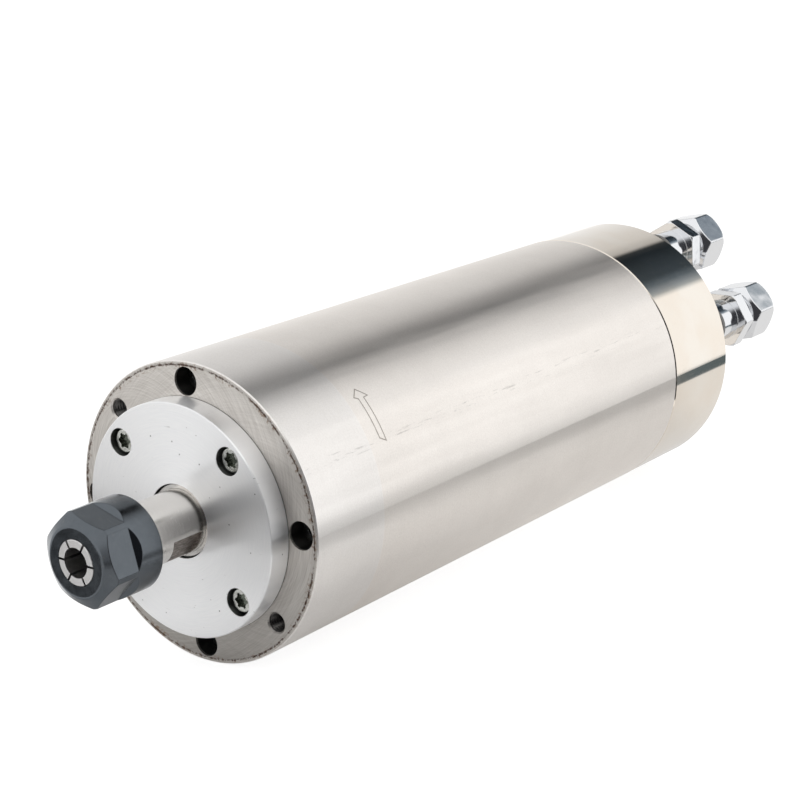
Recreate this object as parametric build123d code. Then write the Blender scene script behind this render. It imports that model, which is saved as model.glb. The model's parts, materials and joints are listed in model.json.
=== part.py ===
from build123d import *
import os
from math import cos, radians, sin, tan
from typing import NamedTuple

# Water-cooled high-frequency motor spindle with an ER11 collet nose.
# Millimetres. The spindle axis is Y: the nose points to -Y and the rear cap to +Y, and +Z is up.
# The origin is on the axis, at the front face of the bearing flange.
# Angles run from +X towards +Z.

os.makedirs("parts", exist_ok=True)


class Bearing(NamedTuple):
    bore: float
    outer: float
    width: float
    ball: float
    count: int


class CapScrew(NamedTuple):
    shank: float
    head: float
    height: float
    key: float
    key_depth: float


# ---------------------------------------------------------------- driving dimensions
# Fits: radial clearances
PRESS = 0.04            # between pieces that are pressed or located on each other
THREAD = 0.05           # between a thread and its hole, both drawn as plain cylinders
LOOSE = 0.1             # between a screw shank and its hole, or a ring and its groove
RUNNING = 0.5           # between the slinger and the cover it turns in
OVERCUT = 1.0           # how far a cutting shape runs past the surface it cuts

# Housing
BODY_RADIUS = 31.0
BODY_LENGTH = 160.0
CAP_LENGTH = 25.0
SLEEVE_WALL = 0.8
JACKET_WALL = 5.7
FLANGE_LENGTH = 28.0
REAR_HOUSING_LENGTH = 22.0
GASKET_THICKNESS = 0.5
CAP_WALL = 4.0
CAP_END_WALL = 6.0
SEAM_CHAMFER = 0.3

# Flange face: four counterbored screws and two tapped holes on one circle
FLANGE_HOLE_INSET = 4.0
FLANGE_SCREW_RECESS = 3.6
TAPPED_HOLE_ANGLES = (135.0, 315.0)
TAPPED_HOLE_DEPTH = 10.0
TAPPED_HOLE_CHAMFER = 0.3

# Socket head cap screws: shank radius, head radius, head height, key width, key depth
M3_CAP = CapScrew(1.5, 2.75, 3.0, 2.5, 1.5)
M4_CAP = CapScrew(2.0, 3.5, 4.0, 3.0, 2.0)
HEAD_CHAMFER = 0.3
M3_COUNTERBORE = 2.9
M4_COUNTERBORE = 3.7
FLANGE_SCREW_LENGTH = 30.0
REAR_HOUSING_SCREW_LENGTH = 25.0
CAP_SCREW_LENGTH = 28.0
SCREW_COUNT = 4
HOUSING_SCREW_OFFSET = 45.0     # from the cap screws, about the axis

# Front cover
COVER_THICKNESS = 5.0
COVER_EDGE = 0.2
COVER_SEAT = 0.5                # depth of the flange's recess that the cover sits in
COVER_HOLE_RADIUS = 7.6
COVER_MARGIN = 0.15             # between the cover's rim and the flange's counterbores
COVER_SPIGOT = 2.0
COVER_SCREW_INSET = 3.95
COVER_SCREW_RECESS = 1.0
COVER_SCREW_ANGLE = 45.0
COVER_SCREW_HEAD = (2.6, 1.8)   # radius, height
COVER_SCREW_FILLET = 0.45
COVER_SCREW_LENGTH = 9.0
COVER_COUNTERBORE = 2.87
SIX_LOBE = (1.3, 0.37, 0.9)     # radius of the recess, radius of a lobe, depth

# Bearings: bore radius, outer radius, width, ball radius, number of balls
FRONT_BEARING = Bearing(7.5, 16.0, 9.0, 2.381, 11)
REAR_BEARING = Bearing(6.0, 14.0, 8.0, 2.381, 10)
BALL_CLEARANCE = 0.06
CAGE_WALL = 1.3
BEARING_SPACER = 3.0
BEARING_SHOULDER = 2.0          # height of the lip that an outer ring seats on
SPRING_THICKNESS = 0.4
SPRING_GAP = 2.0
SPRING_WAVES = 3
SPRING_POINTS = 8               # per wave
REAR_BEARING_DEPTH = 18.0       # from the rear cap's joint to the bearing's front
LOCK_NUT = (9.0, 6.0)           # radius, length
LOCK_NUT_NOTCH = (4, 1.5)       # how many, depth and half the width

# Shaft
NECK_RADIUS = 6.5
NOSE_RADIUS = 6.95
NECK_FLATS = 11.0
NECK_FLAT_LENGTH = 7.7
NECK_FLAT_FRONT = -13.1
NECK_FLAT_ANGLE = -38.5
SHAFT_COLLAR = (9.4, 7.0)       # radius, length
ROTOR_SEAT_RADIUS = 8.0
SHAFT_REAR_RADIUS = 7.2
SHAFT_TAIL = 2.0
DRAWN_BORE_RADIUS = 3.6
SLINGER_RADIUS = 7.3
SLINGER_RECESS = 0.7
SLINGER_FLANGE = (9.0, 1.6)     # radius, thickness

# Collet nut, M14 x 0.75
NUT_BACK = -18.9
NUT_LENGTH = 13.4
NUT_RADIUS = 9.5
NUT_FLATS = 17.0
NUT_FLAT_LENGTH = 6.8
NUT_FLAT_LEAN = 1.25            # how far a flat's end wall leans back for each millimetre that it rises
NUT_FLAT_ANGLE = 13.3
NUT_FACE_RADIUS = 7.0
NUT_CHAMFER = 1.62
NUT_FACE_ROUNDING = 1.2         # between the front face and its cone
NUT_HOLE_RADIUS = 4.6
NUT_LIP_RADIUS = 5.1
NUT_EDGE = 0.15                 # rounding of the edges round its flats

# ER11 collet
COLLET_LENGTH = 18.0
COLLET_PROUD = 0.1              # how far the collet stands out of the nut
COLLET_BORE = 3.0
COLLET_FACE_RADIUS = 4.5
COLLET_FACE_LENGTH = 0.8
COLLET_FACE_CHAMFER = 0.1
COLLET_RADIUS = 5.75
COLLET_GROOVE = (4.75, 1.0)     # radius, width
COLLET_RIM = 0.35
COLLET_FRONT_ANGLE = 30.0
COLLET_TAPER = 8.0
COLLET_GAP = 0.04
COLLET_SLOT = 0.5
COLLET_SLOT_COUNT = 6
COLLET_SLOT_ANGLE = -3.0
COLLET_BRIDGE = 3.0             # uncut length at the closed end of the slots
COLLET_SEAM = 7.5               # angle from the seam of the turned faces to the first slot

# Motor
ROTOR_RADIUS = 12.7
AIR_GAP = 0.3
END_SPACE = 16.0
TOOTH_TIP = 2.2
BACK_IRON = 3.2
STATOR_SLOTS = 12
SLOT_WIDTH = 4.2
SLOT_OPENING = 1.2
COIL_OVERHANG = 7.0
COIL_MARGIN = 0.8
ROTOR_BARS = 18
ROTOR_BAR_RADIUS = 1.1
ROTOR_BAR_INSET = 1.8
END_RING = (3.3, 4.0)           # radial height, length
LEAD_RADIUS = 0.8
LEAD_COUNT = 3
LEAD_HOLE = (20.0, 197.75, 4.0)  # distance from the axis, angle, radius
LEAD_BUNDLE_ANGLE = 30.0        # of the first lead, from the socket's own angle
LEAD_BEND = 0.45                # share of the shorter run that a bend takes

# Cooling water
CHANNEL_DEPTH = 3.6
CHANNEL_WIDTH = 10.0
CHANNEL_PASSES = 6
CROSSING_LENGTH = 9.0
JACKET_FRONT_LAND = 14.0
JACKET_REAR_LAND = 12.5
ORING_GROOVE_DEPTH = 1.4
ORING_SETBACK = 3.0             # from the channels to the middle of the groove
PORT_RADIUS = 1.5
PORT_INSET = 3.3
PASSAGE_RADIUS = 2.5
PASSAGE_STEP = 5.0
WATER_BOSS_RADIUS = 5.6
SCREW_BOSS_RADIUS = 4.2
SCREW_BOSS_INSET = 6.0
SEAL_SECTION = 0.75
SEAL_RADIUS = 3.6

# Push-on hose fittings
FITTING_ANGLES = {"inlet": 65.5, "outlet": 15.0}
FITTING_CORNERS = {"inlet": 29.8, "outlet": 59.0}   # angle of one corner of the hexagon
FITTING_INSET = 5.15
FITTING_THREAD_RADIUS = 4.0
FITTING_THREAD_LENGTH = 8.0
FITTING_COLLAR = (5.0, 8.15)    # radius, length with its washer
FITTING_WASHER = (5.3, 1.0)     # radius, thickness
FITTING_HEX = (13.0, 3.92)      # across flats, length
FITTING_HEX_CHAMFER = 0.3
FITTING_HEX_CORNER = 0.35       # rounding of the long edges
FITTING_BORE = 2.0
FITTING_NECK_RADIUS = 4.9
FITTING_NECK_LENGTH = 8.0
FITTING_BARB = (2.5, 3.1, 5.6)  # small radius, large radius, length
FITTING_BARB_GROOVE = 1.4       # plain length in front of the barb
HOSE_NUT_FLATS = 13.4
HOSE_NUT_LENGTH = 10.2
HOSE_NUT_GAP = 2.6
HOSE_NUT_ANGLE = 8.7
HOSE_NUT_FRONT = (5.9, 40.0)    # radius of the chamfered front face, angle of the chamfer
HOSE_NUT_REAR = (4.9, 3.4)      # radius of the domed rear face, length of the dome
HOSE_NUT_CORNER = 0.6           # rounding of the long edges
HOSE_NUT_EDGE = 0.25            # rounding where the flats meet the chamfer and the dome
HOSE_NUT_HOLE = 4.1
HOSE_NUT_END_WALL = 2.4

# Four-pin panel socket, M16 x 1
SOCKET_CENTRE = (10.5, 220.0)   # distance from the axis, angle
SOCKET_RADIUS = 8.0
SOCKET_OUT = 12.0
SOCKET_IN = 13.0
SOCKET_FLANGE = (1.5, 2.5)      # height over the thread, thickness
SOCKET_WALL = 1.4
SOCKET_DEPTH = 10.0
SOCKET_INSERT_LENGTH = 9.0
SOCKET_KEY = (1.4, 1.0, 5.0)    # width, height and length of the polarising rib
PIN_RADIUS = 0.8
PIN_CHAMFER = 0.4
PIN_CIRCLE = 3.4
PIN_COUNT = 4
PIN_OUT = 5.2
PIN_TAIL = 2.0
SOCKET_NUT = (1.6, 3.0)         # height of its flats over the thread, thickness
SOCKET_NUT_ANGLE = 30.0         # from the socket's own angle to a corner

# ---------------------------------------------------------------- stations and radii that follow
SLEEVE_BORE = BODY_RADIUS - SLEEVE_WALL
CORE_RADIUS = SLEEVE_BORE - PRESS
JACKET_BORE = CORE_RADIUS - JACKET_WALL
STATOR_RADIUS = JACKET_BORE - PRESS
CAP_FRONT = BODY_LENGTH - CAP_LENGTH
CAP_FLOOR = BODY_LENGTH - CAP_END_WALL
REAR_HOUSING_FRONT = CAP_FRONT - REAR_HOUSING_LENGTH
JACKET_REAR = REAR_HOUSING_FRONT - GASKET_THICKNESS
CHANNEL_FRONT = FLANGE_LENGTH + JACKET_FRONT_LAND
CHANNEL_REAR = JACKET_REAR - JACKET_REAR_LAND
FLANGE_CIRCLE = BODY_RADIUS - FLANGE_HOLE_INSET
COVER_RADIUS = FLANGE_CIRCLE - M3_COUNTERBORE - COVER_MARGIN
COVER_SCREW_CIRCLE = COVER_RADIUS - COVER_SCREW_INSET
CAP_SCREW_CIRCLE = BODY_RADIUS - SCREW_BOSS_INSET
FITTING_CIRCLE = BODY_RADIUS - FITTING_INSET
PORT_CIRCLE = CORE_RADIUS - PORT_INSET

FRONT_BEARING_1 = COVER_SPIGOT
FRONT_BEARING_2 = FRONT_BEARING_1 + FRONT_BEARING.width + BEARING_SPACER
FRONT_STACK_END = FRONT_BEARING_2 + FRONT_BEARING.width
REAR_BEARING_FRONT = CAP_FRONT - REAR_BEARING_DEPTH
REAR_BEARING_END = REAR_BEARING_FRONT + REAR_BEARING.width
SHAFT_END = REAR_BEARING_END + LOCK_NUT[1] + SHAFT_TAIL

STATOR_FRONT = FLANGE_LENGTH + END_SPACE
STATOR_REAR = JACKET_REAR - END_SPACE
STATOR_BORE = ROTOR_RADIUS + AIR_GAP
SLOT_INNER = STATOR_BORE + TOOTH_TIP
SLOT_OUTER = STATOR_RADIUS - BACK_IRON
ROTOR_BAR_CIRCLE = ROTOR_RADIUS - ROTOR_BAR_INSET

NUT_FRONT = NUT_BACK - NUT_LENGTH
NUT_THREAD_RADIUS = NOSE_RADIUS + THREAD
COLLET_FRONT = NUT_FRONT - COLLET_PROUD
COLLET_REAR = COLLET_FRONT + COLLET_LENGTH
COLLET_CONE_START = COLLET_FRONT + COLLET_FACE_LENGTH
COLLET_CONE_SLOPE = tan(radians(COLLET_FRONT_ANGLE))
COLLET_CONE_END = COLLET_CONE_START + (COLLET_RADIUS - COLLET_FACE_RADIUS) / COLLET_CONE_SLOPE
GROOVE_FRONT = COLLET_CONE_END + COLLET_RIM
GROOVE_REAR = GROOVE_FRONT + COLLET_GROOVE[1]
TAPER_SLOPE = tan(radians(COLLET_TAPER))
NOSE_FRONT = GROOVE_REAR + COLLET_RIM

SOCKET_AT_ANGLE = SOCKET_CENTRE[1]
FITTING_HEX_START = BODY_LENGTH + FITTING_COLLAR[1]
FITTING_NECK_START = FITTING_HEX_START + FITTING_HEX[1]
FITTING_NECK_END = FITTING_NECK_START + FITTING_NECK_LENGTH


# ---------------------------------------------------------------- shape helpers
def polar(distance, angle):
    """The (x, z) point at a distance from the spindle axis."""
    return distance * cos(radians(angle)), distance * sin(radians(angle))


def around(distance, count, first=0.0):
    """Evenly spaced (x, z) points on a circle about the spindle axis."""
    return [polar(distance, first + 360.0 / count * index) for index in range(count)]


def facing(y):
    """A plane across the spindle axis, whose own x and y run along X and Z."""
    return Plane(origin=(0, y, 0), x_dir=(1, 0, 0), z_dir=(0, -1, 0))


def bar(sketch, start, end):
    """A sketch in X and Z carried along Y."""
    return extrude(facing(end) * sketch, end - start)


def disc(radius, centre=(0, 0)):
    return Pos(*centre) * Circle(radius)


def rod(radius, start, end, centre=(0, 0)):
    return bar(disc(radius, centre), start, end)


def tube(outer, inner, start, end, centre=(0, 0)):
    return bar(disc(outer, centre) - disc(inner, centre), start, end)


def hexagon(flats, centre=(0, 0), corner=0.0):
    return Pos(*centre) * Rot(0, 0, corner) * RegularPolygon(flats / 2, 6, major_radius=False)


def across_corners(flats):
    """The distance from a hexagon's centre to its corner."""
    return flats / 2 / cos(radians(30))


def rounded_hexagon(flats, rounding, centre, corner):
    shape = hexagon(flats, centre, corner)
    return fillet(shape.vertices(), rounding)


def turned(outline, centre=(0, 0)):
    """A solid of revolution: the outline is a closed list of (y, radius)."""
    points = [(radius, y) for y, radius in outline]
    face = make_face(Polyline(points, close=True))
    return Pos(centre[0], 0, centre[1]) * revolve(face, Axis.Y)


def ring(radius, section, y, centre=(0, 0)):
    """A round-section ring about an axis along Y."""
    return Pos(centre[0], y, centre[1]) * Rot(90, 0, 0) * Torus(radius, section)


def spoke(inner, outer, width, angle):
    """A straight bar of sketch that points away from the axis."""
    middle = Pos((inner + outer) / 2, 0) * Rectangle(outer - inner, width)
    return Rot(0, 0, angle) * middle


def leaning_slab(inner, outer, start, end, lean, angle):
    """A block outside a flat that faces angle. Its wall at end leans along the axis by lean times its rise."""
    corners = [(inner, start), (inner, end), (outer, end + (outer - inner) * lean), (outer, start)]
    side = make_face(Polyline(corners, close=True))
    return Rot(0, -angle, 0) * extrude(side, outer, both=True)


def sector(inner, outer, first, last):
    """A sketch of part of an annulus, between two angles less than 120 apart."""
    reach = 2 * outer
    corners = [polar(reach, first), polar(reach, (first + last) / 2), polar(reach, last)]
    wedge = make_face(Polyline([(0, 0)] + corners, close=True))
    return (disc(outer) - disc(inner)) & wedge


def group(solids):
    """Separate solids that are kept in one node."""
    return Compound(children=[solid for solid in solids])


def cap_screw(size, seat, length, direction, centre):
    """A socket head cap screw. Its head rests on the seat and its shank runs along direction."""
    top = seat - direction * size.height
    floor = top + direction * size.key_depth
    tip = seat + direction * length
    body = rod(size.head, min(seat, top), max(seat, top), centre)
    rim = body.edges().filter_by(GeomType.CIRCLE).sort_by(Axis.Y)
    body = chamfer(rim[0] if direction > 0 else rim[-1], HEAD_CHAMFER)
    body += rod(size.shank, min(seat, tip), max(seat, tip), centre)
    return body - bar(hexagon(size.key, centre), min(top, floor), max(top, floor))


# ---------------------------------------------------------------- housing
def outer_sleeve():
    return turned([
        (0, SLEEVE_BORE), (0, BODY_RADIUS - SEAM_CHAMFER), (SEAM_CHAMFER, BODY_RADIUS),
        (CAP_FRONT - SEAM_CHAMFER, BODY_RADIUS), (CAP_FRONT, BODY_RADIUS - SEAM_CHAMFER),
        (CAP_FRONT, SLEEVE_BORE)])


def front_flange():
    bearing_bore = FRONT_BEARING.outer + PRESS
    lip = FRONT_BEARING.outer - BEARING_SHOULDER
    flange = turned([
        (COVER_SEAT, bearing_bore), (COVER_SEAT, COVER_RADIUS + PRESS), (0, COVER_RADIUS + PRESS),
        (0, CORE_RADIUS), (FLANGE_LENGTH, CORE_RADIUS), (FLANGE_LENGTH, lip), (FRONT_STACK_END, lip),
        (FRONT_STACK_END, bearing_bore)])
    seat = FLANGE_SCREW_RECESS + M3_CAP.height
    for centre in around(FLANGE_CIRCLE, SCREW_COUNT):
        flange -= rod(M3_COUNTERBORE, 0, seat, centre)
        flange -= rod(M3_CAP.shank + LOOSE, seat, FLANGE_LENGTH, centre)
    for angle in TAPPED_HOLE_ANGLES:
        centre = polar(FLANGE_CIRCLE, angle)
        flange -= rod(M4_CAP.shank, 0, TAPPED_HOLE_DEPTH, centre)
        mouth = M4_CAP.shank + TAPPED_HOLE_CHAMFER
        flange -= turned([
            (0, 0), (0, mouth), (TAPPED_HOLE_CHAMFER, M4_CAP.shank), (TAPPED_HOLE_CHAMFER, 0)], centre)
    screw_end = COVER_SCREW_LENGTH + cover_screw_seat()
    for centre in cover_screw_points():
        flange -= rod(M3_CAP.shank + THREAD, COVER_SEAT, screw_end + LOOSE, centre)
    return flange


def flange_screws():
    seat = FLANGE_SCREW_RECESS + M3_CAP.height
    return group(cap_screw(M3_CAP, seat, FLANGE_SCREW_LENGTH, 1, centre)
                 for centre in around(FLANGE_CIRCLE, SCREW_COUNT))


def cover_screw_seat():
    return COVER_SCREW_RECESS + COVER_SCREW_HEAD[1] - COVER_THICKNESS


def cover_screw_points():
    return around(COVER_SCREW_CIRCLE, SCREW_COUNT, COVER_SCREW_ANGLE)


def front_cover():
    spigot = FRONT_BEARING.outer - PRESS
    slinger_room = SLINGER_FLANGE[0] + RUNNING
    room_front = COVER_SPIGOT - SLINGER_FLANGE[1] - RUNNING
    cover = turned([
        (-COVER_THICKNESS, COVER_HOLE_RADIUS), (-COVER_THICKNESS, COVER_RADIUS - COVER_EDGE),
        (COVER_EDGE - COVER_THICKNESS, COVER_RADIUS), (COVER_SEAT, COVER_RADIUS), (COVER_SEAT, spigot),
        (COVER_SPIGOT, spigot), (COVER_SPIGOT, slinger_room), (room_front, slinger_room),
        (room_front, COVER_HOLE_RADIUS)])
    for centre in cover_screw_points():
        cover -= rod(COVER_COUNTERBORE, -COVER_THICKNESS, cover_screw_seat(), centre)
        cover -= rod(M3_CAP.shank + LOOSE, cover_screw_seat(), COVER_SEAT, centre)
    return cover


def cover_screw(centre):
    """A low-head screw with a six-lobe recess."""
    radius, height = COVER_SCREW_HEAD
    recess_radius, lobe, depth = SIX_LOBE
    seat = cover_screw_seat()
    top = seat - height
    recess = disc(recess_radius, centre)
    for x, z in around(recess_radius, 6):
        recess += disc(lobe, (centre[0] + x, centre[1] + z))
    head = rod(radius, top, seat, centre)
    head = fillet(head.edges().filter_by(GeomType.CIRCLE).sort_by(Axis.Y)[0], COVER_SCREW_FILLET)
    head += rod(M3_CAP.shank, seat, seat + COVER_SCREW_LENGTH, centre)
    return head - bar(recess, top, top + depth)


def cover_screws():
    return group(cover_screw(centre) for centre in cover_screw_points())


def oring_stations():
    """Where the two rings that seal the water jacket lie, and their groove."""
    floor = CORE_RADIUS - ORING_GROOVE_DEPTH
    section = (SLEEVE_BORE - floor - PRESS) / 2
    return (CHANNEL_FRONT - ORING_SETBACK, CHANNEL_REAR + ORING_SETBACK), floor, section


def fitting_points():
    return [polar(FITTING_CIRCLE, angle) for angle in FITTING_ANGLES.values()]


def port_points():
    """Where the water leaves the jacket, in line with each fitting."""
    return [polar(PORT_CIRCLE, angle) for angle in FITTING_ANGLES.values()]


def cap_screw_angle():
    """The cap screws straddle the two hose fittings."""
    return sum(FITTING_ANGLES.values()) / len(FITTING_ANGLES)


def cap_screw_points():
    return around(CAP_SCREW_CIRCLE, SCREW_COUNT, cap_screw_angle())


def housing_screw_points():
    return around(FLANGE_CIRCLE, SCREW_COUNT, cap_screw_angle() + HOUSING_SCREW_OFFSET)


def water_jacket():
    jacket = tube(CORE_RADIUS, JACKET_BORE, FLANGE_LENGTH, JACKET_REAR)
    channel_floor = CORE_RADIUS - CHANNEL_DEPTH
    outside = CORE_RADIUS + OVERCUT
    inlet, outlet = FITTING_ANGLES["inlet"], FITTING_ANGLES["outlet"] + 360
    step = (outlet - inlet) / (CHANNEL_PASSES - 1)
    for index in range(CHANNEL_PASSES):
        angle = inlet + step * index
        jacket -= bar(spoke(channel_floor, outside, CHANNEL_WIDTH, angle), CHANNEL_FRONT, CHANNEL_REAR)
        if index < CHANNEL_PASSES - 1:
            start = CHANNEL_FRONT if index % 2 == 0 else CHANNEL_REAR - CROSSING_LENGTH
            crossing = sector(channel_floor, outside, angle, angle + step)
            jacket -= bar(crossing, start, start + CROSSING_LENGTH)
    stations, groove_floor, section = oring_stations()
    for y in stations:
        jacket -= tube(outside, groove_floor, y - section - LOOSE, y + section + LOOSE)
    for centre in port_points():
        jacket -= rod(PORT_RADIUS, CHANNEL_REAR - PORT_RADIUS, JACKET_REAR, centre)
    thread = M3_CAP.shank + THREAD
    flange_screw_tip = FLANGE_SCREW_RECESS + M3_CAP.height + FLANGE_SCREW_LENGTH
    for centre in around(FLANGE_CIRCLE, SCREW_COUNT):
        jacket -= rod(thread, FLANGE_LENGTH, flange_screw_tip + LOOSE, centre)
    rear_screw_tip = CAP_FRONT - M3_CAP.height - REAR_HOUSING_SCREW_LENGTH
    for centre in housing_screw_points():
        jacket -= rod(thread, rear_screw_tip - LOOSE, JACKET_REAR, centre)
    return jacket


def jacket_orings():
    stations, groove_floor, section = oring_stations()
    radius = (groove_floor + SLEEVE_BORE) / 2
    return group(ring(radius, section, y) for y in stations)


def rear_gasket():
    gasket = tube(CORE_RADIUS, JACKET_BORE, JACKET_REAR, REAR_HOUSING_FRONT)
    for centre in port_points():
        gasket -= rod(PORT_RADIUS, JACKET_REAR, REAR_HOUSING_FRONT, centre)
    for centre in housing_screw_points():
        gasket -= rod(M3_CAP.shank + LOOSE, JACKET_REAR, REAR_HOUSING_FRONT, centre)
    return gasket


def rear_bearing_housing():
    bore = REAR_BEARING.outer + PRESS
    pocket = REAR_BEARING_FRONT - SPRING_GAP
    lip = REAR_BEARING.outer - BEARING_SHOULDER
    housing = turned([
        (REAR_HOUSING_FRONT, lip), (REAR_HOUSING_FRONT, CORE_RADIUS), (CAP_FRONT, CORE_RADIUS),
        (CAP_FRONT, bore), (pocket, bore), (pocket, lip)])
    seat = CAP_FRONT - M3_CAP.height
    for centre in housing_screw_points():
        housing -= rod(M3_COUNTERBORE, seat, CAP_FRONT, centre)
        housing -= rod(M3_CAP.shank + LOOSE, REAR_HOUSING_FRONT, seat, centre)
    for centre in cap_screw_points():
        housing -= rod(M4_CAP.shank + THREAD, cap_screw_tip() - LOOSE, CAP_FRONT, centre)
    step = REAR_HOUSING_FRONT + PASSAGE_STEP
    for centre in port_points():
        housing -= rod(PORT_RADIUS, REAR_HOUSING_FRONT, step + PORT_RADIUS, centre)
    groove_reach = SEAL_SECTION + PRESS
    for centre in fitting_points():
        housing -= rod(PASSAGE_RADIUS, step, CAP_FRONT, centre)
        housing -= tube(SEAL_RADIUS + groove_reach, SEAL_RADIUS - groove_reach,
                        CAP_FRONT - 2 * SEAL_SECTION, CAP_FRONT, centre)
    distance, angle, radius = LEAD_HOLE
    return housing - rod(radius, REAR_HOUSING_FRONT, CAP_FRONT, polar(distance, angle))


def rear_housing_screws():
    seat = CAP_FRONT - M3_CAP.height
    return group(cap_screw(M3_CAP, seat, REAR_HOUSING_SCREW_LENGTH, -1, centre)
                 for centre in housing_screw_points())


def passage_seals():
    return group(ring(SEAL_RADIUS, SEAL_SECTION, CAP_FRONT - SEAL_SECTION, centre)
                 for centre in fitting_points())


def cap_screw_seat():
    return BODY_LENGTH - M4_CAP.height - SEAM_CHAMFER


def cap_screw_tip():
    return cap_screw_seat() - CAP_SCREW_LENGTH


def rear_cap():
    cap = turned([
        (CAP_FRONT, 0), (CAP_FRONT, BODY_RADIUS - SEAM_CHAMFER), (CAP_FRONT + SEAM_CHAMFER, BODY_RADIUS),
        (BODY_LENGTH - SEAM_CHAMFER, BODY_RADIUS), (BODY_LENGTH, BODY_RADIUS - SEAM_CHAMFER),
        (BODY_LENGTH, 0)])
    cavity = rod(BODY_RADIUS - CAP_WALL, CAP_FRONT, CAP_FLOOR)
    for centre in cap_screw_points():
        cavity -= rod(SCREW_BOSS_RADIUS, CAP_FRONT, CAP_FLOOR, centre)
    for centre in fitting_points():
        cavity -= rod(WATER_BOSS_RADIUS, CAP_FRONT, CAP_FLOOR, centre)
    cap -= cavity
    for centre in cap_screw_points():
        cap -= rod(M4_CAP.shank + LOOSE, CAP_FRONT, cap_screw_seat(), centre)
        cap -= rod(M4_COUNTERBORE, cap_screw_seat(), BODY_LENGTH, centre)
    thread_end = BODY_LENGTH - FITTING_THREAD_LENGTH
    for centre in fitting_points():
        cap -= rod(PASSAGE_RADIUS, CAP_FRONT, thread_end, centre)
        cap -= rod(FITTING_THREAD_RADIUS + THREAD, thread_end, BODY_LENGTH, centre)
    return cap - rod(SOCKET_RADIUS + LOOSE, CAP_FLOOR, BODY_LENGTH, polar(*SOCKET_CENTRE))


def rear_cap_screws():
    return group(cap_screw(M4_CAP, cap_screw_seat(), CAP_SCREW_LENGTH, -1, centre)
                 for centre in cap_screw_points())


# ---------------------------------------------------------------- bearings
def pitch_radius(bearing):
    return (bearing.bore + bearing.outer) / 2


def ball_groove(bearing, front):
    return ring(pitch_radius(bearing), bearing.ball + BALL_CLEARANCE, front + bearing.width / 2)


def outer_ring(bearing, front):
    """The shoulder behind the balls is high, and the one in front of them is relieved."""
    high = pitch_radius(bearing) + bearing.ball / 2
    low = (high + bearing.outer) / 2
    middle = front + bearing.width / 2
    back = front + bearing.width
    blank = turned([(front, low), (front, bearing.outer), (back, bearing.outer), (back, high),
                    (middle, high), (middle, low)])
    return blank - ball_groove(bearing, front)


def inner_ring(bearing, front):
    land = pitch_radius(bearing) - bearing.ball / 2
    return tube(land, bearing.bore, front, front + bearing.width) - ball_groove(bearing, front)


def balls(bearing, front):
    middle = front + bearing.width / 2
    return [Pos(x, middle, z) * Sphere(bearing.ball)
            for x, z in around(pitch_radius(bearing), bearing.count)]


def ball_cage(bearing, front):
    pitch = pitch_radius(bearing)
    middle = front + bearing.width / 2
    half_width = bearing.ball + CAGE_WALL / 2
    blank = tube(pitch + CAGE_WALL / 2, pitch - CAGE_WALL / 2, middle - half_width, middle + half_width)
    drill = Cylinder(bearing.ball + BALL_CLEARANCE, 2 * CAGE_WALL)
    pocket = Pos(pitch, middle, 0) * Rot(0, 90, 0) * drill
    for index in range(bearing.count):
        blank -= Rot(0, -360.0 / bearing.count * index, 0) * pocket
    return blank


def front_pair(make):
    """A piece of each of the two front bearings."""
    return [make(FRONT_BEARING, front) for front in (FRONT_BEARING_1, FRONT_BEARING_2)]


def spacer_station():
    start = FRONT_BEARING_1 + FRONT_BEARING.width
    return start, start + BEARING_SPACER


def outer_spacer():
    return tube(FRONT_BEARING.outer, FRONT_BEARING.outer - BEARING_SHOULDER, *spacer_station())


def inner_spacer():
    return tube(FRONT_BEARING.bore + BEARING_SHOULDER, FRONT_BEARING.bore, *spacer_station())


def wave_spring():
    """A wavy washer between the housing and the rear bearing's outer ring."""
    inner = REAR_BEARING.outer - BEARING_SHOULDER + LOOSE
    outer = REAR_BEARING.outer - LOOSE
    middle = REAR_BEARING_FRONT - SPRING_GAP / 2
    swing = (SPRING_GAP - SPRING_THICKNESS) / 2 - LOOSE
    steps = SPRING_POINTS * SPRING_WAVES
    rails = []
    for radius in (inner, outer):
        points = []
        for index in range(steps):
            angle = 360.0 * index / steps
            x, z = polar(radius, angle)
            points.append((x, middle + swing * sin(radians(SPRING_WAVES * angle)), z))
        rails.append(Spline(*points, periodic=True))
    surface = Face.make_surface_from_curves(rails[0].edge(), rails[1].edge())
    return thicken(surface, SPRING_THICKNESS / 2, both=True)


# ---------------------------------------------------------------- rotor
def taper_radius(y):
    """The collet's outside, on its long taper."""
    return COLLET_RADIUS - (y - GROOVE_REAR) * TAPER_SLOPE


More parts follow.
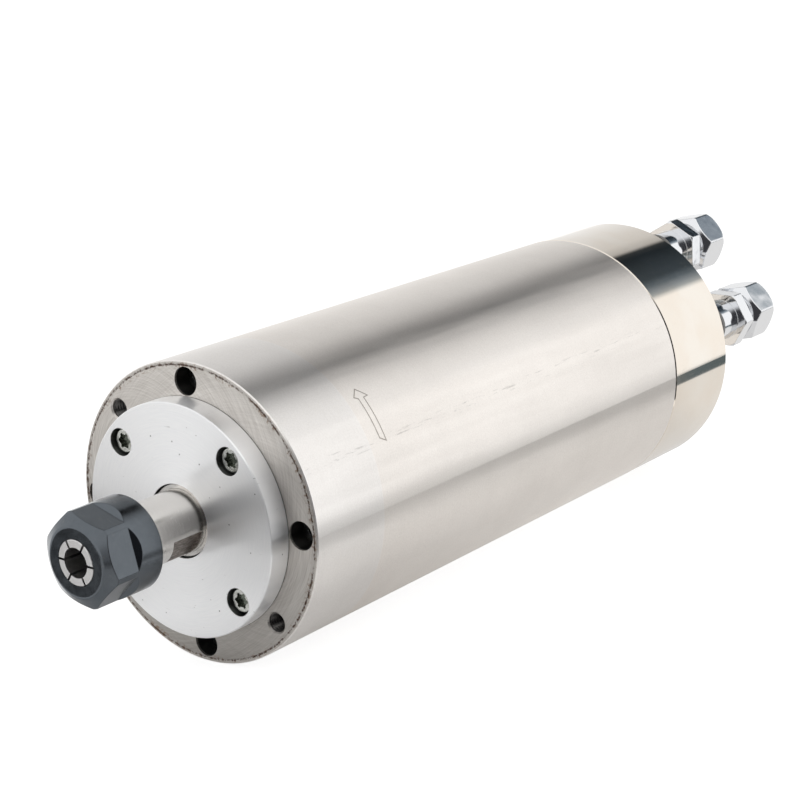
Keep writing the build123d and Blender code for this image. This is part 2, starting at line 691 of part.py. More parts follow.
def spindle_shaft():
    front_seat = FRONT_BEARING.bore - PRESS
    rear_seat = REAR_BEARING.bore - PRESS
    collar_radius, collar_length = SHAFT_COLLAR
    collar_end = FRONT_STACK_END + collar_length
    rotor_seat_end = STATOR_REAR + COIL_OVERHANG
    socket_end = COLLET_REAR + COLLET_PROUD + LOOSE
    bore_end = -COVER_THICKNESS
    outline = [
        (NOSE_FRONT, taper_radius(NOSE_FRONT) + COLLET_GAP), (NOSE_FRONT, NOSE_RADIUS - SEAM_CHAMFER),
        (NOSE_FRONT + SEAM_CHAMFER, NOSE_RADIUS), (NUT_BACK, NOSE_RADIUS), (NUT_BACK, NECK_RADIUS),
        (FRONT_BEARING_1, NECK_RADIUS), (FRONT_BEARING_1, front_seat), (FRONT_STACK_END, front_seat),
        (FRONT_STACK_END, collar_radius), (collar_end, collar_radius), (collar_end, ROTOR_SEAT_RADIUS),
        (rotor_seat_end, ROTOR_SEAT_RADIUS), (rotor_seat_end, SHAFT_REAR_RADIUS),
        (REAR_BEARING_FRONT, SHAFT_REAR_RADIUS), (REAR_BEARING_FRONT, rear_seat), (SHAFT_END, rear_seat),
        (SHAFT_END, 0), (bore_end + DRAWN_BORE_RADIUS, 0), (bore_end, DRAWN_BORE_RADIUS),
        (socket_end, DRAWN_BORE_RADIUS), (socket_end, taper_radius(socket_end) + COLLET_GAP)]
    shaft = turned(outline)
    flat_end = NECK_FLAT_FRONT + NECK_FLAT_LENGTH
    for side in (0, 180):
        waste = spoke(NECK_FLATS / 2, 2 * NECK_RADIUS, 4 * NECK_RADIUS, NECK_FLAT_ANGLE + side)
        shaft -= bar(waste, NECK_FLAT_FRONT, flat_end)
    return shaft


def slinger_ring():
    flange_radius, flange_thickness = SLINGER_FLANGE
    bore = NECK_RADIUS + PRESS
    flange_front = COVER_SPIGOT - flange_thickness
    front = SLINGER_RECESS - COVER_THICKNESS
    return turned([
        (front, bore), (front, SLINGER_RADIUS), (flange_front, SLINGER_RADIUS),
        (flange_front, flange_radius), (COVER_SPIGOT, flange_radius), (COVER_SPIGOT, bore)])


def shaft_lock_nut():
    radius, length = LOCK_NUT
    end = REAR_BEARING_END + length
    nut = tube(radius, REAR_BEARING.bore - PRESS + THREAD, REAR_BEARING_END, end)
    count, notch = LOCK_NUT_NOTCH
    for index in range(count):
        spanner_slot = spoke(radius - notch, radius + notch, 2 * notch, 360.0 / count * index)
        nut -= bar(spanner_slot, REAR_BEARING_END, end)
    return nut


def rotor_core():
    core = disc(ROTOR_RADIUS) - disc(ROTOR_SEAT_RADIUS + PRESS)
    for centre in around(ROTOR_BAR_CIRCLE, ROTOR_BARS):
        core -= disc(ROTOR_BAR_RADIUS + PRESS, centre)
    return bar(core, STATOR_FRONT, STATOR_REAR)


def rotor_cage():
    height, length = END_RING
    outer = ROTOR_RADIUS - PRESS
    cage = tube(outer, outer - height, STATOR_FRONT - length, STATOR_FRONT)
    cage += tube(outer, outer - height, STATOR_REAR, STATOR_REAR + length)
    for centre in around(ROTOR_BAR_CIRCLE, ROTOR_BARS):
        cage += rod(ROTOR_BAR_RADIUS, STATOR_FRONT, STATOR_REAR, centre)
    return cage


# ---------------------------------------------------------------- stator
def stator_core():
    core = disc(STATOR_RADIUS) - disc(STATOR_BORE)
    for index in range(STATOR_SLOTS):
        angle = 360.0 / STATOR_SLOTS * index
        core -= spoke(SLOT_INNER, SLOT_OUTER, SLOT_WIDTH, angle)
        core -= spoke(STATOR_BORE - OVERCUT, SLOT_INNER, SLOT_OPENING, angle)
    return bar(core, STATOR_FRONT, STATOR_REAR)


def stator_winding():
    inner = SLOT_INNER - COIL_MARGIN
    outer = SLOT_OUTER + COIL_MARGIN
    winding = tube(outer, inner, STATOR_FRONT - COIL_OVERHANG, STATOR_FRONT)
    winding += tube(outer, inner, STATOR_REAR, STATOR_REAR + COIL_OVERHANG)
    for index in range(STATOR_SLOTS):
        coil = spoke(SLOT_INNER + LOOSE, SLOT_OUTER - LOOSE, SLOT_WIDTH - 2 * LOOSE,
                     360.0 / STATOR_SLOTS * index)
        winding += bar(coil, STATOR_FRONT, STATOR_REAR)
    return winding


def pin_points():
    x, z = polar(*SOCKET_CENTRE)
    return [(x + dx, z + dz) for dx, dz in around(PIN_CIRCLE, PIN_COUNT, SOCKET_AT_ANGLE + 45)]


def motor_leads():
    """Three leads, from the coils through the rear housing to the socket's pins."""
    start = STATOR_REAR + COIL_OVERHANG
    end = BODY_LENGTH - SOCKET_IN - PIN_TAIL
    rise = (end - CAP_FRONT) / 3
    hole_x, hole_z = polar(*LEAD_HOLE[:2])
    bundle = around(2 * LEAD_RADIUS, LEAD_COUNT, SOCKET_AT_ANGLE + LEAD_BUNDLE_ANGLE)
    leads = []
    for (dx, dz), (x, z) in zip(bundle, pin_points()):
        points = [(hole_x + dx, start, hole_z + dz), (hole_x + dx, CAP_FRONT + rise / 2, hole_z + dz),
                  (x, end - rise, z), (x, end, z)]
        runs = [Vector(*b) - Vector(*a) for a, b in zip(points, points[1:])]
        radii = []
        for before, after in zip(runs, runs[1:]):
            half_turn = radians(before.get_angle(after) / 2)
            radii.append(LEAD_BEND * min(before.length, after.length) / tan(half_turn))
        print("lead bends:", [round(radius, 1) for radius in radii])
        route = FilletPolyline(*points, radius=radii)
        section = facing(start) * disc(LEAD_RADIUS, (hole_x + dx, hole_z + dz))
        leads.append(sweep(section, route))
    return group(leads)


# ---------------------------------------------------------------- collet and nut
def er_collet():
    outline = [
        (COLLET_FRONT, COLLET_BORE), (COLLET_FRONT, COLLET_FACE_RADIUS - COLLET_FACE_CHAMFER),
        (COLLET_FRONT + COLLET_FACE_CHAMFER, COLLET_FACE_RADIUS), (COLLET_CONE_START, COLLET_FACE_RADIUS),
        (COLLET_CONE_END, COLLET_RADIUS), (GROOVE_FRONT, COLLET_RADIUS),
        (GROOVE_FRONT, COLLET_GROOVE[0]), (GROOVE_REAR, COLLET_GROOVE[0]),
        (GROOVE_REAR, COLLET_RADIUS), (COLLET_REAR, taper_radius(COLLET_REAR)),
        (COLLET_REAR, COLLET_BORE)]
    collet = turned(outline)
    front_slots = (COLLET_FRONT, COLLET_REAR - COLLET_BRIDGE, 0)
    rear_slots = (GROOVE_REAR + COLLET_RIM, COLLET_REAR, 180 / COLLET_SLOT_COUNT)
    for start, end, offset in (front_slots, rear_slots):
        for index in range(COLLET_SLOT_COUNT):
            angle = COLLET_SEAM + offset + 360 / COLLET_SLOT_COUNT * index
            collet -= bar(spoke(0, 2 * COLLET_RADIUS, COLLET_SLOT, angle), start, end)
    return Rot(0, COLLET_SEAM - COLLET_SLOT_ANGLE, 0) * collet


def collet_nut():
    cone_gap = COLLET_GAP / cos(radians(COLLET_FRONT_ANGLE))
    cone_front = COLLET_CONE_START + (NUT_HOLE_RADIUS - COLLET_FACE_RADIUS - cone_gap) / COLLET_CONE_SLOPE
    pocket = COLLET_RADIUS + 2 * LOOSE
    cone_rear = cone_front + (pocket - NUT_HOLE_RADIUS) / COLLET_CONE_SLOPE
    lip_front = GROOVE_FRONT + LOOSE
    lip_rear = GROOVE_REAR - LOOSE
    nut = turned([
        (NUT_FRONT, NUT_HOLE_RADIUS), (NUT_FRONT, NUT_FACE_RADIUS),
        (NUT_FRONT + NUT_CHAMFER, NUT_RADIUS), (NUT_BACK - SEAM_CHAMFER, NUT_RADIUS),
        (NUT_BACK, NUT_RADIUS - SEAM_CHAMFER), (NUT_BACK, NUT_THREAD_RADIUS),
        (lip_rear, NUT_THREAD_RADIUS), (lip_rear, NUT_LIP_RADIUS), (lip_front, NUT_LIP_RADIUS),
        (lip_front, pocket), (cone_rear, pocket), (cone_front, NUT_HOLE_RADIUS)])
    face_rims = nut.edges().filter_by_position(Axis.Y, NUT_FRONT - PRESS, NUT_FRONT + PRESS)
    nut = fillet(face_rims.sort_by(SortBy.RADIUS)[-1], NUT_FACE_ROUNDING)
    for index in range(6):
        nut -= leaning_slab(NUT_FLATS / 2, 2 * NUT_RADIUS, NUT_FRONT - OVERCUT, NUT_FRONT + NUT_FLAT_LENGTH,
                            NUT_FLAT_LEAN, NUT_FLAT_ANGLE + 60 * index)

    def beside_a_flat(edge):
        middle = edge @ 0.5
        return middle.Y < NUT_BACK - NUT_CHAMFER and Vector(middle.X, 0, middle.Z).length > NUT_FACE_RADIUS

    return fillet(nut.edges().filter_by(beside_a_flat), NUT_EDGE)


# ---------------------------------------------------------------- hose fittings
def fitting_washers():
    radius, thickness = FITTING_WASHER
    bore = FITTING_THREAD_RADIUS + LOOSE
    return group(tube(radius, bore, BODY_LENGTH, BODY_LENGTH + thickness, centre)
                 for centre in fitting_points())


def hose_fitting(angle, corner):
    centre = polar(FITTING_CIRCLE, angle)
    collar_radius = FITTING_COLLAR[0]
    barb_small, barb_large, barb_length = FITTING_BARB
    barb_start = FITTING_NECK_END + FITTING_BARB_GROOVE
    collar_start = BODY_LENGTH + FITTING_WASHER[1]
    thread_end = BODY_LENGTH - FITTING_THREAD_LENGTH
    barb_tip = FITTING_NECK_END + barb_length
    body = turned([
        (thread_end + LOOSE, FITTING_BORE), (thread_end + LOOSE, FITTING_THREAD_RADIUS),
        (collar_start, FITTING_THREAD_RADIUS), (collar_start, collar_radius),
        (FITTING_HEX_START, collar_radius), (FITTING_NECK_START, FITTING_NECK_RADIUS),
        (FITTING_NECK_END, FITTING_NECK_RADIUS), (FITTING_NECK_END, barb_small),
        (barb_start, barb_small), (barb_start, barb_large),
        (barb_tip, barb_small), (barb_tip, FITTING_BORE)], centre)
    flats = FITTING_HEX[0]
    corner_radius = across_corners(flats)
    face_radius = corner_radius - FITTING_HEX_CHAMFER / tan(radians(30))
    section = rounded_hexagon(flats, FITTING_HEX_CORNER, centre, corner)
    prism = bar(section, FITTING_HEX_START, FITTING_NECK_START)
    rounding = turned([
        (FITTING_HEX_START, collar_radius / 2), (FITTING_HEX_START, face_radius),
        (FITTING_HEX_START + FITTING_HEX_CHAMFER, corner_radius),
        (FITTING_NECK_START - FITTING_HEX_CHAMFER, corner_radius), (FITTING_NECK_START, face_radius),
        (FITTING_NECK_START, collar_radius / 2)], centre)
    return body + (prism & rounding)


def hose_nut(angle):
    """A cap nut that clamps the hose: chamfered in front and domed behind."""
    centre = polar(FITTING_CIRCLE, angle)
    start = FITTING_NECK_START + HOSE_NUT_GAP
    end = start + HOSE_NUT_LENGTH
    front_radius, front_angle = HOSE_NUT_FRONT
    rear_radius, dome_length = HOSE_NUT_REAR
    corner_radius = across_corners(HOSE_NUT_FLATS)
    front_slope = (corner_radius - front_radius) * tan(radians(front_angle))
    profile = Polyline((0, start), (front_radius, start), (corner_radius, start + front_slope),
                       (corner_radius, end - dome_length))
    dome = EllipticalCenterArc((rear_radius, end - dome_length), corner_radius - rear_radius,
                               dome_length, start_angle=0, arc_size=90)
    closing = Polyline((rear_radius, end), (0, end), (0, start))
    envelope = Pos(centre[0], 0, centre[1]) * revolve(make_face(profile + dome + closing), Axis.Y)
    section = rounded_hexagon(HOSE_NUT_FLATS, HOSE_NUT_CORNER, centre, HOSE_NUT_ANGLE)
    nut = bar(section, start, end) & envelope
    straight = (GeomType.LINE, GeomType.CIRCLE)
    nut = fillet(nut.edges().filter_by(lambda edge: edge.geom_type not in straight), HOSE_NUT_EDGE)
    thread = FITTING_NECK_RADIUS + THREAD
    nut -= rod(thread, start, end - HOSE_NUT_END_WALL, centre)
    return nut - rod(HOSE_NUT_HOLE, end - HOSE_NUT_END_WALL, end, centre)


# ---------------------------------------------------------------- electrical socket
def socket_shell():
    centre = polar(*SOCKET_CENTRE)
    flange_height, flange_thickness = SOCKET_FLANGE
    flange_radius = SOCKET_RADIUS + flange_height
    inner = SOCKET_RADIUS - SOCKET_WALL
    start = BODY_LENGTH - SOCKET_IN
    end = BODY_LENGTH + SOCKET_OUT
    shell = tube(SOCKET_RADIUS, inner, start, end, centre)
    shell += tube(flange_radius, inner, BODY_LENGTH, BODY_LENGTH + flange_thickness, centre)
    width, height, length = SOCKET_KEY
    rib = Pos(*centre) * spoke(inner - height, inner + SOCKET_WALL / 2, width, SOCKET_AT_ANGLE)
    return shell + bar(rib, end - SOCKET_DEPTH, end - SOCKET_DEPTH + length)


def socket_insert():
    centre = polar(*SOCKET_CENTRE)
    face = BODY_LENGTH + SOCKET_OUT - SOCKET_DEPTH
    insert = disc(SOCKET_RADIUS - SOCKET_WALL - PRESS, centre)
    for point in pin_points():
        insert -= disc(PIN_RADIUS + PRESS, point)
    return bar(insert, face - SOCKET_INSERT_LENGTH, face)


def socket_pins():
    face = BODY_LENGTH + SOCKET_OUT - SOCKET_DEPTH
    tail = BODY_LENGTH - SOCKET_IN - PIN_TAIL
    tip = face + PIN_OUT
    outline = [(tail, 0), (tail, PIN_RADIUS), (tip - PIN_CHAMFER, PIN_RADIUS),
               (tip, PIN_RADIUS - PIN_CHAMFER), (tip, 0)]
    return group(turned(outline, point) for point in pin_points())


def socket_nut():
    height, thickness = SOCKET_NUT
    centre = polar(*SOCKET_CENTRE)
    flats = 2 * (SOCKET_RADIUS + height)
    nut = hexagon(flats, centre, SOCKET_AT_ANGLE + SOCKET_NUT_ANGLE)
    nut -= disc(SOCKET_RADIUS + THREAD, centre)
    return bar(nut, CAP_FLOOR - thickness, CAP_FLOOR)


# ---------------------------------------------------------------- every node
NODES = {
    "outer_sleeve": outer_sleeve(),
    "front_flange": front_flange(),
    "flange_screws": flange_screws(),
    "front_cover": front_cover(),
    "cover_screws": cover_screws(),
    "water_jacket": water_jacket(),
    "jacket_orings": jacket_orings(),
    "rear_gasket": rear_gasket(),
    "rear_bearing_housing": rear_bearing_housing(),
    "rear_housing_screws": rear_housing_screws(),
    "passage_seals": passage_seals(),
    "rear_cap": rear_cap(),
    "rear_cap_screws": rear_cap_screws(),
    "front_bearing_outer_rings": group(front_pair(outer_ring)),
    "front_bearing_inner_rings": group(front_pair(inner_ring)),
    "front_bearing_cages": group(front_pair(ball_cage)),
    "front_bearing_balls": group(ball for pair in front_pair(balls) for ball in pair),
    "outer_spacer": outer_spacer(),
    "inner_spacer": inner_spacer(),
    "rear_bearing_outer_ring": outer_ring(REAR_BEARING, REAR_BEARING_FRONT),
    "rear_bearing_inner_ring": inner_ring(REAR_BEARING, REAR_BEARING_FRONT),
    "rear_bearing_cage": ball_cage(REAR_BEARING, REAR_BEARING_FRONT),
    "rear_bearing_balls": group(balls(REAR_BEARING, REAR_BEARING_FRONT)),
    "wave_spring": wave_spring(),
    "spindle_shaft": spindle_shaft(),
    "slinger_ring": slinger_ring(),
    "shaft_lock_nut": shaft_lock_nut(),
    "rotor_core": rotor_core(),
    "rotor_cage": rotor_cage(),
    "stator_core": stator_core(),
    "stator_winding": stator_winding(),
    "motor_leads": motor_leads(),
    "er_collet": er_collet(),
    "collet_nut": collet_nut(),
    "fitting_washers": fitting_washers(),
    "socket_shell": socket_shell(),
    "socket_insert": socket_insert(),
    "socket_pins": socket_pins(),
    "socket_nut": socket_nut(),
}
for side, angle in FITTING_ANGLES.items():
    NODES[side + "_fitting"] = hose_fitting(angle, FITTING_CORNERS[side])
    NODES[side + "_hose_nut"] = hose_nut(angle)

for name, shape in NODES.items():
    export_step(shape, os.path.join("parts", name + ".step"))
print(len(NODES), "nodes")
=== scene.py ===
import json
import math

import bmesh
import bpy
from mathutils import Matrix, Vector


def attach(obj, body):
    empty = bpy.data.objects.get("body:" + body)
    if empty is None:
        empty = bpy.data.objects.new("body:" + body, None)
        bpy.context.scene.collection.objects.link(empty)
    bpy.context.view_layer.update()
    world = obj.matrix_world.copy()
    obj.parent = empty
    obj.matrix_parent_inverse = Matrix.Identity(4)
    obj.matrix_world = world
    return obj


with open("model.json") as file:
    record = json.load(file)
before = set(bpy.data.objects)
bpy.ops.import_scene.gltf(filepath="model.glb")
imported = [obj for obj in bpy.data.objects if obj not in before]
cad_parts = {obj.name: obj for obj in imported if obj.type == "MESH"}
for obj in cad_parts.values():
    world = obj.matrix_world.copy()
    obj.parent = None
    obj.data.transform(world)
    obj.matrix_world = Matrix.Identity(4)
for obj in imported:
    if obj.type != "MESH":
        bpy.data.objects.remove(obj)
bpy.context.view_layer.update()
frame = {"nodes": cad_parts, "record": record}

MM = 0.001
NODES = frame["nodes"]

# Places on the parts, in millimetres: a distance from the spindle's axis, or a place along Y
SLEEVE_RADIUS = 31.0
FLANGE_RIM = 30.2                 # where the flange meets the sleeve
SCRIBED_RING = (20.3, 20.5)
SCUFF_ANGLES = (22.5, 26.5)       # the line of scuffs along the sleeve, in degrees
FLAT_RADIUS = (6.44, 6.36)        # the wrench flats lie inside this
FLAT_LENGTH = (-13.15, -5.35)
SCREW_HEAD_CHAMFER = (3.62, 3.95)  # on the flange screws
COVER_SCREW_RECESS = -3.86

# The outline of the rotation arrow on the sleeve, as (place along Y, angle)
ARROW = [
    (24.7, 45.5), (26.85, 41.6), (25.5, 41.35), (25.5, 23.5), (23.92, 25.2), (23.92, 41.45), (23.0, 42.4)]
ARROW_LINE = 0.22
ARROW_HEIGHT = 0.01

# Threads: where each one's axis is, as (distance from the spindle's axis, angles), and its sizes
TAPPED_HOLES = (27.0, (135.0, 315.0))
TAPPED_THREAD = {"back": 2.02, "crest": 1.66, "root": 1.98, "pitch": 0.7, "start": 0.55, "end": 9.8}
FITTINGS = (25.85, (65.5, 15.0))
FITTING_THREAD = {"back": 4.8, "crest": 5.15, "root": 4.92, "pitch": 0.75, "start": 172.15, "end": 174.5}
SOCKET = (10.5, 220.0)
SOCKET_THREAD = {
    "back": 7.9, "crest": 8.3, "root": 7.99, "pitch": 1.0, "start": 163.2, "end": 171.8, "around": 48}
STEPS_PER_PITCH = 6

# The studio that metal sees. Ceilings are (angle about the spindle axis, brightness)
CEILING_ANGLES = (-20, 200)
CAP_CEILING = [
    (48, 1.1), (51, (0.73, 0.75, 0.76)), (53, (0.41, 0.45, 0.48)), (57, (0.26, 0.30, 0.34)),
    (63, (0.11, 0.14, 0.17)), (70, (0.045, 0.06, 0.075)), (98, (0.016, 0.022, 0.028)),
    (105, (0.035, 0.04, 0.045)), (109, 0.50), (120, 0.68), (180, 0.95), (200, 1.1)]
SLEEVE_CEILING = [
    (62, 1.15), (73, 0.87), (82, 0.50), (88, 0.08), (92, 0.0), (102, 0.0), (104, 0.50), (117, 0.62),
    (180, 0.95), (200, 1.1)]
WALL_IN_FRONT = (1.05, 1.05, 1.05)
TABLE = (0.76, 0.75, 0.74)
TABLE_AT_CAP = (0.86, 0.85, 0.835)
GAP_AT_SLEEVE = (0.34, 0.34, 0.335)
GAP_AT_CAP = (0.11, 0.14, 0.155)
GAP_IN_FRONT = (0.03, 0.03, 0.03)
CORNER_AT_FITTINGS = (0.07, 0.09, 0.11)
ROOM_BEHIND_CAMERA = (0.05, 0.05, 0.055)
TOWARDS_CAMERA = (0.737, -0.669, 0.09)

CAMERA_LENS = 87.767
CAMERA_PLACE = (257.8095, -262.1873, 118.0711)
CAMERA_RIGHT = (0.794261, 0.605489, -0.050322)
CAMERA_UP = (-0.117142, 0.233880, 0.965183)
CAMERA_BACK = (0.596177, -0.760713, 0.256690)


# ---------------------------------------------------------------- node graphs
class Graph:
    """A node tree with short ways to add nodes. A value is a number, a tuple or another node's socket."""

    def __init__(self, tree):
        self.tree = tree
        tree.nodes.clear()

    def put(self, socket, value):
        if isinstance(value, bpy.types.NodeSocket):
            self.tree.links.new(value, socket)
        elif value is not None:
            if socket.type == "RGBA" and not isinstance(value, (int, float)) and len(value) == 3:
                value = (*value, 1.0)
            socket.default_value = value

    def node(self, kind, inputs=None, **settings):
        made = self.tree.nodes.new(kind)
        for name, value in settings.items():
            setattr(made, name, value)
        for name, value in (inputs or {}).items():
            self.put(made.inputs[name], value)
        return made

    def math(self, operation, a, b=None, clamp=False):
        return self.node("ShaderNodeMath", {0: a, 1: b}, operation=operation, use_clamp=clamp).outputs[0]

    def vector(self, operation, a, b=None):
        return self.node("ShaderNodeVectorMath", {0: a, 1: b}, operation=operation).outputs[0]

    def length(self, a):
        return self.node("ShaderNodeVectorMath", {0: a}, operation="LENGTH").outputs["Value"]

    def step(self, value, low, high):
        """0 below low and 1 above high, smooth between them."""
        return self.node("ShaderNodeMapRange", {0: value, 1: low, 2: high, 3: 0.0, 4: 1.0},
                         interpolation_type="SMOOTHSTEP").outputs[0]

    def span(self, value, low, high, soft):
        """1 between low and high, with soft sides."""
        up = self.step(value, low - soft, low + soft)
        down = self.step(value, high - soft, high + soft)
        return self.math("SUBTRACT", up, down)

    def ranged(self, value, low, high, first, last):
        return self.node("ShaderNodeMapRange", {0: value, 1: low, 2: high, 3: first, 4: last}).outputs[0]

    def mix(self, factor, a, b):
        made = self.node("ShaderNodeMix", data_type="RGBA")
        self.put(made.inputs[0], factor)
        self.put(made.inputs[6], a)
        self.put(made.inputs[7], b)
        return made.outputs[2]

    def blend(self, factor, a, b):
        """A number between a and b."""
        made = self.node("ShaderNodeMix", data_type="FLOAT")
        self.put(made.inputs[0], factor)
        self.put(made.inputs[2], a)
        self.put(made.inputs[3], b)
        return made.outputs[0]

    def ramp(self, value, stops):
        """A colour ramp. The stops are (position, grey or colour)."""
        made = self.node("ShaderNodeValToRGB", {0: value})
        elements = made.color_ramp.elements
        while len(elements) < len(stops):
            elements.new(1.0)
        for element, (position, colour) in zip(elements, stops):
            element.position = position
            if isinstance(colour, (int, float)):
                colour = (colour, colour, colour)
            element.color = (*colour, 1.0)
        return made.outputs[0]

    def noise(self, vector, scale=1.0, detail=2.0, roughness=0.5, distortion=0.0):
        return self.node("ShaderNodeTexNoise", {"Vector": vector, "Scale": scale, "Detail": detail,
                                                "Roughness": roughness, "Distortion": distortion}).outputs[0]

    def cells(self, vector, scale):
        return self.node("ShaderNodeTexVoronoi", {"Vector": vector, "Scale": scale})

    def axes(self, vector):
        return self.node("ShaderNodeSeparateXYZ", {0: vector}).outputs

    def join(self, x, y, z):
        return self.node("ShaderNodeCombineXYZ", {0: x, 1: y, 2: z}).outputs[0]


class Surface(Graph):
    """A material for a piece. Its coordinates are the frame's own, in millimetres."""

    def __init__(self, name):
        self.material = bpy.data.materials.new(name)
        self.material.use_nodes = True
        super().__init__(self.material.node_tree)
        raw = self.node("ShaderNodeTexCoord").outputs["Object"]
        self.place = self.vector("MULTIPLY", raw, (1 / MM, 1 / MM, 1 / MM))
        self.x, self.y, self.z = self.axes(self.place)
        self.radius = self.length(self.join(self.x, 0.0, self.z))

    def stretched(self, x, y, z):
        """The place with each axis scaled, so that noise from it runs along the axes scaled least."""
        return self.vector("MULTIPLY", self.place, (x, y, z))

    def about(self, centre=(0.0, 0.0)):
        """Distance from a line along Y through centre."""
        if centre == (0.0, 0.0):
            return self.radius
        x = self.math("SUBTRACT", self.x, centre[0])
        z = self.math("SUBTRACT", self.z, centre[1])
        return self.length(self.join(x, 0.0, z))

    def lathe_lines(self, fine=6.0, along=0.25, centre=(0.0, 0.0), detail=2.0):
        """Noise drawn out round the axis, as a facing cut leaves it."""
        around_x = self.math("MULTIPLY", self.x, along)
        around_z = self.math("MULTIPLY", self.z, along)
        out = self.math("MULTIPLY", self.about(centre), fine)
        return self.noise(self.join(around_x, out, around_z), 1.0, detail)

    def rounded(self, radius):
        """A normal that shades edges as if they were rounded."""
        return self.node("ShaderNodeBevel", {"Radius": radius * MM}, samples=4).outputs[0]

    def edges(self, radius):
        """1 along sharp edges, and 0 where the surface is smooth for more than radius."""
        plain_normal = self.node("ShaderNodeNewGeometry").outputs["Normal"]
        agree = self.node("ShaderNodeVectorMath", {0: self.rounded(radius), 1: plain_normal},
                          operation="DOT_PRODUCT").outputs["Value"]
        return self.step(agree, 0.995, 0.96)

    def bump(self, height, strength, distance, normal=None):
        return self.node("ShaderNodeBump", {"Strength": strength, "Distance": distance * MM,
                                            "Height": height, "Normal": normal}).outputs[0]

    def finish(self, colour, roughness, metallic=1.0, normal=None, anisotropic=0.0, turn=0.0):
        """Joins the values to the surface, and gives the material."""
        inputs = {"Base Color": colour, "Roughness": roughness, "Metallic": metallic, "Normal": normal}
        if anisotropic:
            inputs["Anisotropic"] = anisotropic
            inputs["Anisotropic Rotation"] = turn
            inputs["Tangent"] = self.node("ShaderNodeTangent", direction_type="RADIAL", axis="Y").outputs[0]
        shader = self.node("ShaderNodeBsdfPrincipled", inputs)
        output = self.node("ShaderNodeOutputMaterial")
        self.tree.links.new(shader.outputs[0], output.inputs[0])
        return self.material


# ---------------------------------------------------------------- materials that show
RUST_DARK = (0.085, 0.042, 0.026)
RUST_LIGHT = (0.30, 0.19, 0.12)


def rim_rust(s, colour):
    """A thin broken line of rust where the flange meets the sleeve, with a few specks beside it."""
    speckle = s.noise(s.place, 1.3, 4.0, 0.7)
    patch = s.noise(s.place, 0.12, 2.0)
    spread = s.math("ADD", speckle, s.ranged(patch, 0.3, 0.7, -0.08, 0.08))
    joint = s.span(s.radius, FLANGE_RIM - 0.2, FLANGE_RIM + 0.2, 0.12)
    line = s.math("MULTIPLY", joint, s.step(spread, 0.42, 0.54))
    beside = s.span(s.radius, FLANGE_RIM - 0.8, FLANGE_RIM + 0.5, 0.3)
    specks = s.math("MULTIPLY", beside, s.step(spread, 0.54, 0.62))
    colour = s.mix(s.math("MULTIPLY", specks, 0.6), colour, RUST_LIGHT)
    return s.mix(s.math("MULTIPLY", line, 0.85), colour, RUST_DARK), s.math("MAXIMUM", line, specks)


def ground_stainless():
    """The sleeve: satin ground stainless, with grain, grinding rings, a line of scuffs and a scribed ring."""
    s = Surface("ground_stainless")
    grain = s.noise(s.stretched(3.2, 4.0, 3.2), 1.0, 2.0, 0.6)
    rings = s.noise(s.stretched(0.12, 7.0, 0.12), 1.0, 3.0, 0.6)
    cloud = s.noise(s.place, 0.05, 3.0, 0.55)
    smear = s.noise(s.stretched(0.5, 0.03, 0.5), 1.0, 3.0)
    tone = s.math("ADD", s.ranged(grain, 0.3, 0.7, -0.28, 0.28), s.ranged(rings, 0.3, 0.7, -0.10, 0.10))
    tone = s.math("ADD", tone, s.ranged(cloud, 0.3, 0.7, -0.18, 0.18))
    colour = s.mix(s.math("ADD", tone, 0.5, clamp=True), (0.82, 0.775, 0.73), (0.99, 0.945, 0.895))
    cool = s.math("MULTIPLY", s.step(s.y, 20.6, 20.2), 0.55)
    cooler = s.mix(s.math("ADD", tone, 0.5, clamp=True), (0.84, 0.82, 0.80), (0.97, 0.955, 0.94))
    colour = s.mix(cool, colour, cooler)
    scribe = s.span(s.y, *SCRIBED_RING, 0.08)
    colour = s.mix(s.math("MULTIPLY", scribe, 0.25), colour, (1.0, 0.98, 0.96))
    # scuffs in a line along the side, and a few strays
    turn = s.math("MULTIPLY", s.math("ARCTAN2", s.z, s.x), 180 / math.pi)
    band = s.span(turn, *SCUFF_ANGLES, 1.2)
    scuff = s.noise(s.stretched(2.0, 0.14, 2.0), 1.0, 4.0, 0.7)
    scuffs = s.math("MULTIPLY", s.step(scuff, 0.57, 0.66), band)
    stray = s.noise(s.stretched(1.2, 0.12, 1.2), 1.0, 5.0, 0.75)
    strays = s.math("MULTIPLY", s.step(stray, 0.72, 0.80), 0.3)
    scuffs = s.math("MAXIMUM", s.math("MULTIPLY", scuffs, 0.35), strays)
    colour = s.mix(scuffs, colour, (0.30, 0.28, 0.26))
    face = s.step(s.y, 0.12, 0.04)
    grey = s.mix(grain, (0.50, 0.47, 0.44), (0.68, 0.65, 0.61))
    colour = s.mix(face, colour, grey)
    rusted, rust = rim_rust(s, colour)
    edge = s.step(s.y, 0.5, 0.15)
    colour = s.mix(edge, colour, rusted)
    rough = s.math("ADD", 0.34, s.ranged(smear, 0.3, 0.7, -0.03, 0.03))
    rough = s.math("ADD", rough, s.math("MULTIPLY", s.math("MULTIPLY", edge, rust), 0.3))
    normal = s.bump(grain, 0.12, 0.02)
    return s.finish(colour, rough, normal=normal, anisotropic=0.88, turn=0.25)


